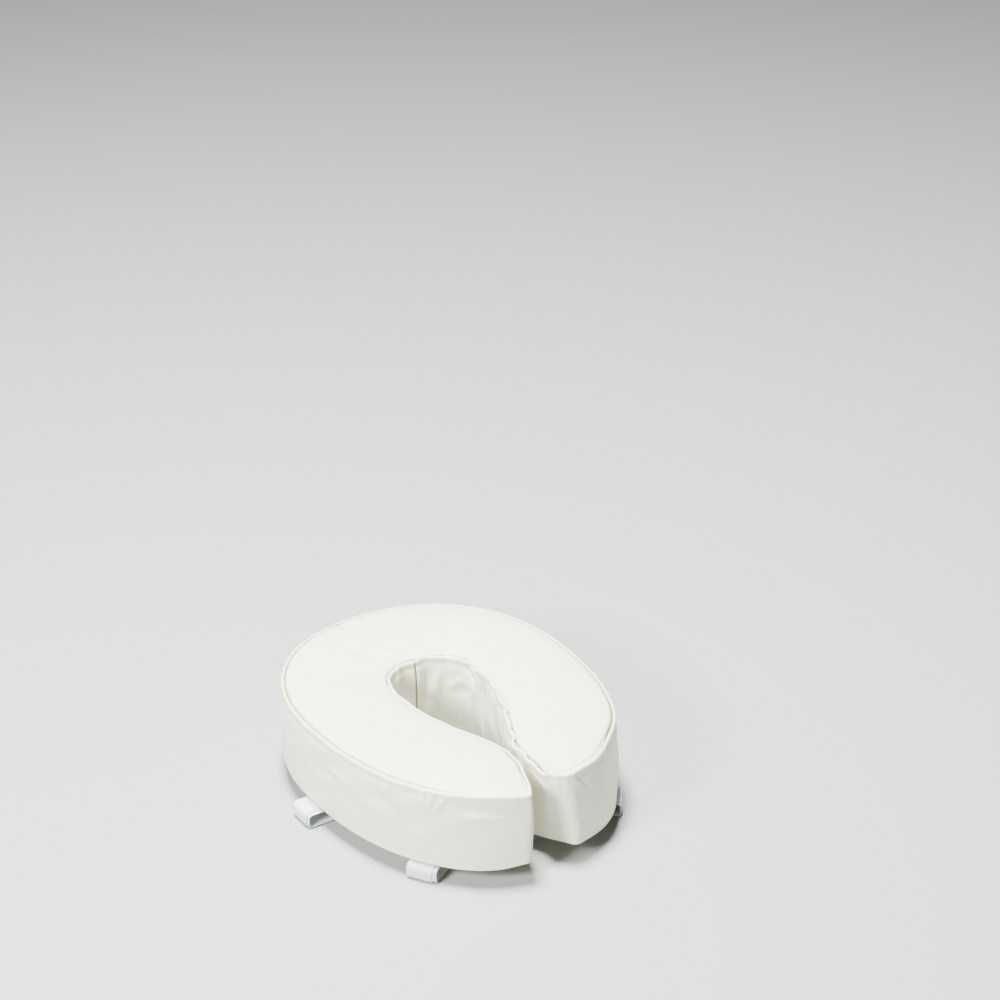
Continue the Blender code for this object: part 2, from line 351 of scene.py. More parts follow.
def wholePlan(count):
    # The outside and the inside, each from the left front corner round the back to the right one
    outerRight, innerRight = planHalf(1.0)
    outer = resample(outerRight, count // 2 + 1)[::-1]
    inner = resample(innerRight, count // 2 + 1)
    mirror = np.array([-1.0, 1.0])
    outer = np.concatenate([outer * mirror, outer[::-1][1:]])
    inner = np.concatenate([inner * mirror, inner[::-1][1:]])
    drift = (plan["holeDrift"] + plan["holeSkew"] * inner[:, 0]) * bump(inner[:, 1], 0.035, 0.075)
    drift += plan["neckDrift"] * bump(inner[:, 1], -0.165, 0.05)
    inner = inner + np.stack([drift, np.zeros_like(drift)], 1)
    return outer, inner


outer, inner = wholePlan(plan["count"])


cover = {
    "wall": 0.0012,
    "seamGap": 0.0003,
    "rollWide": 0.0048, "rollHigh": 0.0034,  # the rolled edge outside the seams
    "tuck": 0.0030,  # how deep the edges go into the seam
    "waist": 0.0008, "waistBelow": 0.0085,  # the pull-in just below a rolled edge
    "bulge": 0.0020, "crown": 0.0042, "crownReach": 0.024,
    "edgeRound": 0.0030,  # the panels' roundness at a seam
    "jointX": 0.005,  # the band's joint, right of the middle of the hole's back
    "joint": 0.0022, "jointRidge": 0.0010,  # the groove at a band's end and the low ridge behind it
    "outerRim": 0.0003,  # height of the small puckers below the outer seams
    "outerWaves": 0.018, "innerWaves": 0.030,  # how far the long waves reach from a seam
    "innerRim": (0.0002, 0.0007),  # puckers round the hole: before the joint, and what is added beyond it
    "looseFrom": 0.330, "looseOver": 0.04,  # where that begins along the inside
    "bandSteps": 52, "topSteps": 64, "bottomSteps": 30,  # rows of the grids from seam to seam
}
height = topZ - undersideZ


def normalsOf(line, turned):
    # Square to the line in plan: its direction turned a quarter, to the left for 1 and to the right for -1
    along = np.gradient(line, axis=0)
    along /= np.linalg.norm(along, axis=1)[:, None]
    return np.stack([-along[:, 1], along[:, 0]], axis=1) * turned


outerOut, innerOut = normalsOf(outer, 1.0), normalsOf(inner, -1.0)
for end in (0, -1):
    shared = outerOut[end] + innerOut[end]
    outerOut[end] = innerOut[end] = shared / np.linalg.norm(shared)
outerLength, innerLength = distances(outer), distances(inner)


leans = [  # how the arms' fronts lean: side, middle in plan, spread, push at the top, push at the foot
    (1, (0.036, -0.222), 0.040, (-0.0110, 0.0070, 0.0), (-0.0015, 0.0040, 0.0020)),
    (1, (0.014, -0.202), 0.024, (-0.0105, -0.0080, 0.0), (0.0, 0.0, 0.0)),
    (1, (0.100, -0.185), 0.040, (-0.0050, 0.0050, 0.0), (0.0015, 0.0, 0.0)),
    (-1, (-0.032, -0.224), 0.030, (0.0025, -0.0010, -0.0034), (0.0022, 0.0, 0.0046)),
]


def leaned(points):
    # Each arm's top and foot are pushed by different amounts, in a bell round one place in plan
    up = smoothStep((points[..., 2] - undersideZ) / height)[..., None]
    result = points.copy()
    for side, centre, spread, top, foot in leans:
        near = bump(np.hypot(points[..., 0] - centre[0], points[..., 1] - centre[1]), 0.0, spread)
        near *= smoothStep((side * points[..., 0] + 0.007) / 0.009)
        result += near[..., None] * (up * np.array(top) + (1 - up) * np.array(foot))
    return result


def lookUp(field, rows, columns):
    # Values of a grid between its points, straight-line in both directions: rows and columns run from 0 to 1
    high, wide = field.shape[0] - 1, field.shape[1] - 1
    r = np.clip(rows * high, 0, high - 1e-6)
    c = np.clip(columns * wide, 0, wide - 1e-6)
    i, j = r.astype(int), c.astype(int)
    u, v = (r - i)[..., None], (c - j)[..., None]
    first = field[i, j] * (1 - v) + field[i, j + 1] * v
    second = field[i + 1, j] * (1 - v) + field[i + 1, j + 1] * v
    return first * (1 - u) + second * u


swell = {
    "along": 200, "panel": 18, "wall": 18,
    "frames": 20, "pressure": 4.0, "cap": 0.009,
    "quality": 6, "mass": 0.35, "stretch": 30.0, "shear": 15.0, "bend": 0.8,
    "endRows": 8.0,  # rows at the front corners that are held
    "innerHold": 0.85,  # how firmly the hole's upper seam is held
    "ease": -0.055, "outerEase": -0.006,  # the hole's wall has this much cloth to spare
}


def sectionGrid(along, panel, wall):
    # The whole cushion as one closed grid: along the arms, and round by the foot, outside, top and inside
    keep = np.linspace(0, len(outer) - 1, along + 1).round().astype(int)
    o, i = outer[keep], inner[keep]
    across = np.linspace(0, 1, panel + 1)[None, :, None]
    upright = undersideZ + height * np.linspace(0, 1, wall + 1)
    flat = o[:, None] * (1 - across) + i[:, None] * across

    def atLevel(plane, level):
        return np.concatenate([plane, np.full((*plane.shape[:2], 1), level)], axis=2)

    def standing(line):
        tall = np.repeat(line[:, None], wall + 1, axis=1)
        return np.concatenate([tall, np.broadcast_to(upright[None, :, None], (*tall.shape[:2], 1))], axis=2)

    foot = atLevel(flat, undersideZ)[:, ::-1]
    loops = [foot[:, :-1], standing(o)[:, :-1], atLevel(flat, topZ)[:, :-1], standing(i)[:, ::-1][:, :-1]]
    return np.concatenate(loops, axis=1)


def simulateCover():
    # Cloth under pressure, held at its seams; returns how far each grid point moved
    s = swell
    grid = sectionGrid(s["along"], s["panel"], s["wall"])
    rows, columns = grid.shape[:2]
    points, faces, where = weld(grid.reshape(-1, 3), gridFaces(rows, columns, wrapColumns=True))
    model = makePiece("swellingCover", points, faces, vinyl)
    held = np.zeros((rows, columns))
    eased = np.zeros((rows, columns))
    panel, wall = s["panel"], s["wall"]
    held[:, :panel + 1] = 1.0  # the foot stays flat
    held[:, panel + wall] = 1.0
    held[:, 2 * panel + wall] = s["innerHold"]
    eased[:, panel + 1:panel + wall] = s["outerEase"] / s["ease"]
    eased[:, 2 * panel + wall + 1:] = 1.0
    ends = smoothStep(np.minimum(np.arange(rows), np.arange(rows)[::-1]) / s["endRows"])
    eased *= ends[:, None]
    held = np.maximum(held, (1 - ends)[:, None])
    for label, amounts in (("held", held), ("eased", eased)):
        group = model.vertex_groups.new(name=label)
        best = np.zeros(len(points))
        np.maximum.at(best, where, amounts.reshape(-1))
        for amount in np.unique(best.round(2)):
            group.add(np.flatnonzero(best.round(2) == amount).tolist(), float(amount), "REPLACE")
    cloth = model.modifiers.new("cloth", "CLOTH")
    settings = cloth.settings
    settings.quality = s["quality"]
    settings.mass = s["mass"]
    settings.tension_stiffness = settings.compression_stiffness = s["stretch"]
    settings.shear_stiffness = s["shear"]
    settings.bending_stiffness = s["bend"]
    settings.use_pressure = True
    settings.uniform_pressure_force = s["pressure"]
    settings.effector_weights.gravity = 0.0
    settings.vertex_group_mass = "held"
    settings.vertex_group_shrink = "eased"
    settings.shrink_min = 0.0
    settings.shrink_max = s["ease"]
    cloth.collision_settings.use_collision = False
    cloth.point_cache.frame_end = s["frames"]
    for step in range(1, s["frames"] + 1):
        scene.frame_set(step)
    evaluated = model.evaluated_get(bpy.context.evaluated_depsgraph_get())
    moved = np.empty(len(points) * 3)
    evaluated.data.vertices.foreach_get("co", moved)
    scene.frame_set(1)
    bpy.data.objects.remove(model)
    move = (moved.reshape(-1, 3) - points)[where].reshape(grid.shape)
    size = np.linalg.norm(move, axis=2, keepdims=True)
    print(f"cover swelled by {np.median(size) * 1000:.2f} mm, at most {size.max() * 1000:.2f} mm")
    return move * (s["cap"] * np.tanh(size / s["cap"]) / np.maximum(size, 1e-9))


swollen = simulateCover()
panelCount, wallCount = swell["panel"], swell["wall"]
swollen = np.concatenate([swollen, swollen[:, :1]], axis=1)
swellOuter = swollen[:, panelCount:panelCount + wallCount + 1]
swellTop = swollen[:, panelCount + wallCount:2 * panelCount + wallCount + 1]
swellInner = swollen[:, 2 * panelCount + wallCount:][:, ::-1]


# How strongly the seams are darkened with painted shade and some grime: more along the right arm's front,
# less round the hole
seamShadeAndGrimeStrength = {
    "usual": 0.55, "least": 0.02,
    "front": 0.45, "frontPlace": (0.085, -0.175),  # more along the right arm's front
    "hole": 0.53, "holeStretch": (0.9, 1.3),  # less round the hole
    "spread": 0.085,
}


def seamShadeAndGrimeAmount(points):
    # How dark a seam's painted shade and grime is: the usual amount, plus a bell at the right arm's front,
    # less a bell round the hole
    d = seamShadeAndGrimeStrength
    x, y = points[..., 0], points[..., 1]
    front = bump(np.hypot(x - d["frontPlace"][0], y - d["frontPlace"][1]), 0.0, d["spread"])
    hole = bump(np.hypot(x / d["holeStretch"][0], y / d["holeStretch"][1]), 0.0, d["spread"])
    return np.clip(d["usual"] + d["front"] * front - d["hole"] * hole, d["least"], 1.0)


def fold(s, h, centre, size, turn, tall):
    # One soft ridge on a wall: a bell across it and a flatter bell along it, turned from upright.
    # s runs along the wall and h up it
    across = (s - centre[0]) * cos(radians(turn)) - (h - centre[1]) * sin(radians(turn))
    along = (s - centre[0]) * sin(radians(turn)) + (h - centre[1]) * cos(radians(turn))
    return tall * np.exp(-((across / size[0]) ** 2)) * np.exp(-((along / size[1]) ** 4))


def sideProfile(steps):
    # Section of a side band as distance out, height, and share of the height: from inside the foot's seam,
    # round a half ellipse, up the wall, round another half ellipse and down into the top seam
    c = cover
    a, b = c["rollWide"] / 2, c["rollHigh"]
    turn = np.linspace(-pi, 0, 13)
    foot = np.stack([-a + a * np.cos(turn), undersideZ + b + b * np.sin(turn)], 1)
    upright = np.linspace(0, 1, steps + 1)[1:-1]
    wall = np.stack([np.zeros(steps - 1), undersideZ + b + (height - 2 * b) * upright], 1)
    head = np.stack([foot[:, 0], undersideZ + topZ - foot[:, 1]], 1)[::-1]
    start = foot[:1] + np.array([0.0, c["tuck"]])
    end = head[-1:] - np.array([0.0, c["tuck"]])
    profile = np.concatenate([start, foot, wall, head, end])
    share = np.clip((profile[:, 1] - undersideZ) / height, 0, 1)
    low, high = undersideZ + c["waistBelow"], topZ - c["waistBelow"]
    waist = c["waist"] * (bump(profile[:, 1], high, 0.004) + bump(profile[:, 1], low, 0.004))
    body = np.where(profile[:, 0] > -a, c["bulge"] * np.sin(pi * share) - waist, 0.0)
    profile[:, 0] += body * smoothStep(1 + profile[:, 0] / a)
    # Painted shade and grime: a narrow bell where the edge tucks into the seam
    shadeAndGrime = np.exp(-((profile[:, 0] + 2 * a) / 0.0014) ** 2)
    return profile, share, shadeAndGrime


outerFolds = [  # (distance from the left front corner, level), (half width, half length), turn, height
    ((0.1245, 0.086), (0.0035, 0.010), 15, 0.0022), ((0.1205, 0.085), (0.0028, 0.009), 10, -0.0020),
    ((0.1167, 0.087), (0.0035, 0.009), -8, 0.0020), ((0.1110, 0.084), (0.0030, 0.010), -25, -0.0020),
    ((0.1050, 0.086), (0.0040, 0.010), -35, 0.0018), ((0.0972, 0.084), (0.0050, 0.012), -50, -0.0018),
    ((0.0450, 0.084), (0.0060, 0.034), 88, -0.0024), ((0.0500, 0.073), (0.0050, 0.025), 85, 0.0013),
    ((0.0583, 0.062), (0.0050, 0.020), 86, -0.0020), ((0.0600, 0.048), (0.0060, 0.030), 78, 0.0015),
    ((0.0400, 0.036), (0.0070, 0.030), 80, -0.0017), ((0.1650, 0.045), (0.0080, 0.040), 72, 0.0016),
    ((0.1500, 0.060), (0.0070, 0.035), 70, -0.0016), ((0.1750, 0.088), (0.0050, 0.014), -30, 0.0013),
    ((0.2050, 0.040), (0.0070, 0.035), 78, -0.0013), ((0.2528, 0.061), (0.0035, 0.020), 87, -0.0020),
    ((0.2528, 0.069), (0.0045, 0.022), 87, 0.0012), ((0.3000, 0.050), (0.0080, 0.030), 75, 0.0013),
    ((0.3300, 0.035), (0.0080, 0.030), 80, -0.0012), ((0.4000, 0.060), (0.0120, 0.035), 66, 0.0013),
    ((1.2360, 0.086), (0.0040, 0.012), 25, 0.0016), ((1.2280, 0.083), (0.0030, 0.012), 35, -0.0014),
    ((1.1500, 0.050), (0.0090, 0.040), 80, 0.0012), ((1.0500, 0.060), (0.0090, 0.035), 100, -0.0012),
    ((0.5600, 0.085), (0.0060, 0.020), 8, -0.0016), ((0.5900, 0.088), (0.0050, 0.018), -10, 0.0014),
]


def wallMove(s, h, folds, reach, seed, rim):
    # Small puckers that fade away from the seams, long drag folds, and the listed folds
    toSeam = np.minimum(h, height - h)
    move = rim * ripple(s, (0.009, 0.013, 0.021), seed) * np.exp(-toSeam / 0.007)
    waves = 2.6 * rim * ripple(s + 0.1 * h, (0.034, 0.055), seed + 1) * np.exp(-toSeam / reach)
    move += waves * (1.0 if folds is innerFolds else smoothStep(toSeam / 0.010))
    move += 0.0011 * ripple(s * 0.6 + h * 1.1, (0.05, 0.083, 0.14), seed + 2) * np.sin(pi * h / height)
    for centre, size, turn, tall in folds:
        move += fold(s, h, centre, size, turn, tall)
    return move


innerFolds = [  # the same on the hole's wall, with the distances measured along the inside
    ((0.3825, 0.057), (0.0065, 0.029), 6.5, -0.0044), ((0.3950, 0.066), (0.0060, 0.020), 14, 0.0030),
    ((0.4450, 0.086), (0.0040, 0.012), -40, -0.0034), ((0.4278, 0.060), (0.0050, 0.011), 65, -0.0042),
    ((0.4200, 0.068), (0.0050, 0.012), 50, 0.0020), ((0.4520, 0.056), (0.0055, 0.034), 9.4, 0.0042),
    ((0.4725, 0.050), (0.0080, 0.034), -2, -0.0040), ((0.5000, 0.066), (0.0080, 0.028), 0, 0.0028),
    ((0.4510, 0.010), (0.0050, 0.010), 0, -0.0040), ((0.3350, 0.080), (0.0050, 0.022), 10, 0.0022),
    ((0.7220, 0.085), (0.0040, 0.014), -15, 0.0018), ((0.7290, 0.088), (0.0030, 0.012), -8, -0.0018),
    ((0.7080, 0.060), (0.0060, 0.030), 5, 0.0014),
]


def wallPoints(line, out, lengths, swellField, keep, folds, seed, rim, reach):
    # A band's surface along one stretch of the plan: plan point + out x profile + swelling + small folds
    profile, share, shadeAndGrime = sideProfile(cover["bandSteps"])
    t = keep / (len(line) - 1)
    place = line[keep][:, None] + out[keep][:, None] * profile[None, :, :1]
    points = np.concatenate([place, np.broadcast_to(profile[None, :, 1:], (*place.shape[:2], 1))], axis=2)
    points = points + lookUp(swellField, t[:, None] + 0 * share[None], share[None] + 0 * t[:, None])
    s = lengths[keep][:, None] + 0 * share[None]
    h = (profile[:, 1] - undersideZ)[None] + 0 * s
    fade = smoothStep(np.minimum(t, 1 - t)[:, None] / 0.005)
    move = wallMove(s, h, folds, reach, seed, rim) * fade
    flat = np.sin(np.clip(share, 0.02, 1) * pi / 2)[None]  # less at the foot
    points[..., :2] += out[keep][:, None] * (move * flat)[..., None]
    rise = 0.5 * rim * ripple(s, (0.017, 0.027, 0.045), seed + 7)
    points[..., 2] += rise * fade * smoothStep((share[None] - 0.8) / 0.2)
    return points, np.broadcast_to(shadeAndGrime[None], s.shape)


def bandEnds(points, out, ridge):
    # A band's two ends curl inwards by a short decay, behind a low ridge of bell shape
    along = distances(points[:, points.shape[1] // 2])
    shadeAndGrime = np.zeros(len(points))
    for end in (0, -1):
        away = np.abs(along - along[end])
        curl = -cover["joint"] * np.exp(-(away / 0.0011) ** 2) + ridge * bump(away, 0.0032, 0.0018)
        points[..., :2] += out[:, None] * curl[:, None, None]
        # The joint's groove is darkened as well: painted shade and grime
        shadeAndGrime = np.maximum(shadeAndGrime, np.exp(-(away / 0.0010) ** 2))
    return points, shadeAndGrime


behindHole = (inner[:, 0] < cover["jointX"]) & (inner[:, 1] > plan["holeWidest"])
jointAt = int(np.flatnonzero(behindHole)[-1] // 2 * 2)
middle = (len(outer) - 1) // 2


def addBand(name, outerKeep, innerKeep, outerFirst):
    # One strip of the side band: an outer stretch and an inner stretch that meet at a front corner
    c = cover
    beyond = smoothStep((innerLength[innerKeep] - c["looseFrom"]) / c["looseOver"])[:, None]
    innerRim = c["innerRim"][0] + c["innerRim"][1] * beyond
    outside, shadeAndGrimeOut = wallPoints(
        outer, outerOut, outerLength, swellOuter, outerKeep, outerFolds, 11, c["outerRim"], c["outerWaves"])
    inside, shadeAndGrimeIn = wallPoints(
        inner, innerOut, innerLength, swellInner, innerKeep, innerFolds, 23, innerRim, c["innerWaves"])
    stretches = [(outside, outerOut[outerKeep], shadeAndGrimeOut), (inside, innerOut[innerKeep], shadeAndGrimeIn)]
    first, second = stretches if outerFirst else stretches[::-1]
    points, out, shadeAndGrime = (np.concatenate([one, other[1:]]) for one, other in zip(first, second))
    points, ends = bandEnds(points, out, c["jointRidge"])
    # Painted shade and grime in the seams and joints, scaled by how dark each seam is painted
    shadeAndGrime = np.maximum(shadeAndGrime, ends[:, None]) * seamShadeAndGrimeAmount(points)
    faces = gridFaces(*points.shape[:2])
    piece = makePiece(name, leaned(points).reshape(-1, 3), faces, vinyl, fields={"seamShadeAndGrime": shadeAndGrime.reshape(-1)})
    addThickness(piece, c["wall"])
    return piece


rightInside, leftInside = np.arange(len(inner) - 1, jointAt - 1, -2), np.arange(jointAt, -1, -2)
rightBand = addBand("rightBandCover", np.arange(middle, len(outer)), rightInside, True)
leftBand = addBand("leftBandCover", np.arange(0, middle + 1), leftInside, False)
print("bands made")


def panelGrid(steps, level):
    # A flat panel from the outer seam to the inner seam, with rows closer together at both seams:
    # the share across is (1 - cos of the turn) / 2. Returns places, distances from the nearest seam, shares
    inset = cover["rollWide"] + cover["seamGap"]
    first = outer - outerOut * inset
    last = inner - innerOut * inset
    share = (1 - np.cos(np.linspace(0, pi, steps + 1))) / 2
    place = first[:, None] * (1 - share[None, :, None]) + last[:, None] * share[None, :, None]
    away = np.minimum(share, 1 - share)[None] * np.linalg.norm(last - first, axis=1)[:, None]
    points = np.concatenate([place, np.full((*place.shape[:2], 1), level)], axis=2)
    ends = np.minimum(outerLength, outerLength[-1] - outerLength)[:, None]
    return points, np.minimum(away, ends * 0.75), share


topWrinkles = [  # soft creases as middle, length, half width, turn from +X, height
    ((-0.020, 0.126), 0.045, 0.0045, 118, 0.0013), ((-0.045, 0.136), 0.040, 0.004, 135, -0.0011),
    ((0.016, 0.136), 0.040, 0.005, 95, 0.0009), ((-0.060, 0.111), 0.030, 0.004, 150, 0.0011),
    ((0.007, 0.112), 0.014, 0.0016, 63, -0.0020), ((0.011, 0.112), 0.014, 0.0020, 63, 0.0010),
    ((0.030, 0.121), 0.030, 0.004, 70, -0.0009), ((-0.060, 0.180), 0.050, 0.006, 160, 0.0011),
    ((0.085, 0.106), 0.040, 0.005, 35, 0.0010), ((0.095, 0.050), 0.035, 0.005, 5, -0.0008),
    ((-0.030, 0.205), 0.030, 0.004, 100, -0.0018), ((-0.045, 0.200), 0.030, 0.004, 115, 0.0015),
    ((-0.010, 0.208), 0.025, 0.004, 80, 0.0013), ((-0.075, 0.190), 0.030, 0.005, 130, -0.0013),
]


def topMove(x, y, away):
    # Creases that run outwards from the hole, and a slow unevenness of the foam: bells and sines added up
    move = 0.0006 * ripple(x * 0.8 + y * 0.6, (0.07, 0.11, 0.19), 31) * smoothStep(away / 0.02)
    for centre, length, wide, turn, tall in topWrinkles:
        along = (x - centre[0]) * cos(radians(turn)) + (y - centre[1]) * sin(radians(turn))
        across = (y - centre[1]) * cos(radians(turn)) - (x - centre[0]) * sin(radians(turn))
        move += tall * np.exp(-((across / wide) ** 2)) * np.exp(-((2 * along / length) ** 4))
    return move


panelPuckers = {
    "waves": (0.010, 0.016, 0.027), "fade": 0.008,
    "outer": 0.00015, "inner": 0.0006,  # height near the outer seam, and near the hole beyond the joint
    "looseFrom": 0.45, "looseOver": 0.05,  # where that begins, as a share of the way round
}


def addPanel(name, top):
    # A flat panel, turned down into its seams by a quarter circle and crowned by 1 - e^(-distance)
    c, p = cover, panelPuckers
    row = np.arange(len(outer))[:, None]
    points, away, share = panelGrid(c["topSteps"], topZ) if top else panelGrid(c["bottomSteps"], undersideZ)
    t = row / (len(outer) - 1) + 0 * away
    r = c["edgeRound"]
    inside = np.clip(r - away, 0, r)
    drop = r - np.sqrt(np.maximum(r * r - inside**2, 0))
    skirt = (c["tuck"] + c["rollHigh"] - r) * (away < 1e-9)
    if top:
        points = points + lookUp(swellTop, t, share[None] + 0 * t)
        crown = c["crown"] * (1 - np.exp(-away / c["crownReach"]))
        loose = p["inner"] * smoothStep((row / len(outer) - p["looseFrom"]) / p["looseOver"])
        puckers = np.where(share[None] > 0.5, loose, p["outer"])
        puckers = puckers * ripple(outerLength[:, None] + 0 * away, p["waves"], 5)
        points[..., 2] += crown + topMove(points[..., 0], points[..., 1], away)
        points[..., 2] += puckers * np.exp(-away / p["fade"]) - drop - skirt
    else:
        points[..., 2] += drop + skirt
    # Painted shade and grime along the panel's seams, wider where it is darker
    depth = seamShadeAndGrimeAmount(points)
    shadeAndGrime = depth * bump(away, 0.0, 0.0012 + 0.0026 * depth**2)
    points = leaned(points)
    verts, faces, where = weld(points.reshape(-1, 3), gridFaces(*away.shape)[:, ::1 if top else -1])
    seamShadeAndGrime = np.zeros(len(verts))
    np.maximum.at(seamShadeAndGrime, where, shadeAndGrime.reshape(-1))
    piece = makePiece(name, verts, faces, vinyl, fields={"seamShadeAndGrime": seamShadeAndGrime})
    addThickness(piece, c["wall"])
    return piece


topPanel = addPanel("topPanelCover", True)
bottomPanel = addPanel("bottomPanelCover", False)


foamGrid = {"along": 320, "panel": 24, "wall": 22}
foamInset = {"side": 0.0030, "foot": 0.0026, "top": 0.0030, "corner": 0.004, "cornerDrop": 0.0025}


def addFoam():
    # The block of foam: the closed section, pulled in by a few millimetres, with its edges rounded
    # by squeezing points near a corner of the section towards the middle of the section
    f = foamInset
    grid = sectionGrid(**foamGrid) + foamSwelling()
    low, high = undersideZ + f["foot"], topZ - f["top"]
    keep = np.linspace(0, len(outer) - 1, foamGrid["along"] + 1).round().astype(int)
    middleLine = (outer[keep] + inner[keep]) / 2
    reach = np.linalg.norm(outer[keep] - inner[keep], axis=1)[:, None] / 2
    side = grid[..., :2] - middleLine[:, None]
    across = np.linalg.norm(side, axis=2)
    shrink = np.clip(1 - f["side"] / np.maximum(reach, 0.004), 0.2, 1)
    level = (grid[..., 2] - (low + high) / 2) / (height / 2)
    corner = smoothStep((np.abs(level) - 0.9) / 0.1)
    corner = corner * smoothStep((across / np.maximum(reach, 1e-4) - 0.9) / 0.1)
    shrink = shrink - f["corner"] * corner / np.maximum(reach, 0.02)
    grid[..., :2] = middleLine[:, None] + side * shrink[..., None]
    ceiling = high + f["corner"] * (1 - corner) * (level > 0)
    grid[..., 2] = np.clip(grid[..., 2], low, ceiling) - f["cornerDrop"] * corner * np.sign(level)
    verts, faces, where = weld(leaned(grid).reshape(-1, 3), gridFaces(*grid.shape[:2], wrapColumns=True))
    return makePiece("foamBlock", verts, faces, foam)


def foamSwelling():
    # Half of the cover's swelling, so that the foam stays just under it
    t = np.linspace(0, 1, foamGrid["along"] + 1)[:, None]
    columns = np.linspace(0, 1, 2 * (foamGrid["panel"] + foamGrid["wall"]) + 1)[None, :-1]
    return 0.5 * lookUp(swollen, t + 0 * columns, columns + 0 * t) * np.array([1, 1, 0.5])


foamBlock = addFoam()
print("panels and foam made")

covers = [(topPanel, "top_panel"), (bottomPanel, "bottom_panel")]
covers += [(leftBand, "left_band"), (rightBand, "right_band")]
for piece, node in covers:
    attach(piece, "cushion")
    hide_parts(node)
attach(foamBlock, "cushion")
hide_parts("foam_core")


strap = {
    "width": 0.032, "webbing": 0.0012, "tape": 0.0011, "tapeShift": 0.0055,
    "gap": 0.00005,  # between the webbing and the tape sewn to it
    "bends": (0.0065, 0.0055, 0.0045, 0.0042),  # radius of each fold, from the outer top one round the loop
    "blendReach": 0.0062,
    "step": 0.0009,
    "stitchPitch": 0.0030, "stitchLength": 0.0021, "stitchWide": 0.00028, "stitchEdge": 0.0026,
    "boxPitch": 0.0026, "boxWide": 0.00030,
    "patchPitch": 0.0028, "patchWide": 0.00022, "patchInset": 0.0018,
}
joints = {joint["name"]: joint for joint in frame["joints"]}
up = np.array([0.0, 0.0, 1.0])


def filletPath(corners, radii, step):
    # Straight runs joined by quadratic curves that touch each run one radius from its corner, at equal steps
    line = [corners[0][None]]
    t = np.linspace(0, 1, 17)[:, None]
    for before, corner, after, radius in zip(corners, corners[1:], corners[2:], radii):
        first = corner + (before - corner) / np.linalg.norm(before - corner) * radius
        last = corner + (after - corner) / np.linalg.norm(after - corner) * radius
        line.append((1 - t) ** 2 * first + 2 * t * (1 - t) * corner + t**2 * last)
    line = np.concatenate([*line, corners[-1][None]])
    return resample(line, int(distances(line)[-1] / step))


def roundedStrip(count, width, thickness):
    # Superellipse: width times a small power of cos, thickness times a larger power of sin
    turn = np.linspace(0, 2 * pi, count, endpoint=False)
    wide = width / 2 * np.sign(np.cos(turn)) * np.abs(np.cos(turn)) ** 0.35
    thick = thickness / 2 * np.sign(np.sin(turn)) * np.abs(np.sin(turn)) ** 0.45
    return np.stack([wide, thick], axis=1)


def sweep(path, facing, sideways, profile, shift, lift):
    # The profile carried along the path: place + sideways x across + facing x thickness; ends closed by a cap
    across = (profile[None, :, 0] + shift)[..., None] * sideways
    points = path[:, None] + across + (profile[None, :, 1] + lift)[..., None] * facing[:, None]
    rows, columns = points.shape[:2]
    faces = gridFaces(rows, columns, wrapColumns=True)[:, ::-1].tolist()
    faces += [list(range(columns)), list(range((rows - 1) * columns, rows * columns))[::-1]]
    uv = np.stack([np.repeat(distances(path), columns), np.tile(profile[:, 0], rows)], axis=1)
    return points.reshape(-1, 3), faces, uv


def stitches(places, along, facing, length, wide):
    # Low ellipsoids of six sides and four rings, one at each place, lying along its direction
    turn = np.linspace(0, 2 * pi, 6, endpoint=False)
    ring = np.linspace(-1, 1, 5)
    size = np.sqrt(np.maximum(1 - np.abs(ring) ** 2.5, 0.02))
    sideways = np.cross(along, facing)
    a = ring[None, :, None, None] * along[:, None, None] * length / 2
    b = (size[:, None] * np.cos(turn))[None, ..., None] * sideways[:, None, None] * wide
    c = (size[:, None] * np.sin(turn))[None, ..., None] * facing[:, None, None] * wide
    points = places[:, None, None] + a + b + c
    single = gridFaces(5, 6, wrapColumns=True)[:, ::-1]
    faces = (np.arange(len(places))[:, None, None] * 30 + single[None]).reshape(-1, 4).tolist()
    for start in range(0, 30 * len(places), 30):
        faces += [list(range(start, start + 6)), list(range(start + 24, start + 30))[::-1]]
    return points.reshape(-1, 3), faces


def strapFrame(name):
    # Read from the frame: the strap's fold places, its direction out of the cushion and its direction across
    folds = [np.array(joints[f"{name}_open"]["pos_m"])]
    folds += [np.array(joints[f"{name}_fold_{number}"]["pos_m"]) for number in range(2, 6)]
    outwards = folds[1] - folds[0]
    outwards /= np.linalg.norm(outwards)
    sideways = np.cross(outwards, up)
    sideways *= -np.sign(sideways[1])  # towards the front
    return folds, outwards, sideways


def finishPiece(piece, bodies, nodes=()):
    # Ties a piece to its body, or bakes the place of a piece across the fold between two bodies into its
    # points
    if len(bodies) == 2:
        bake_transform(piece)
    else:
        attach(piece, bodies[0])
    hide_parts(*nodes)


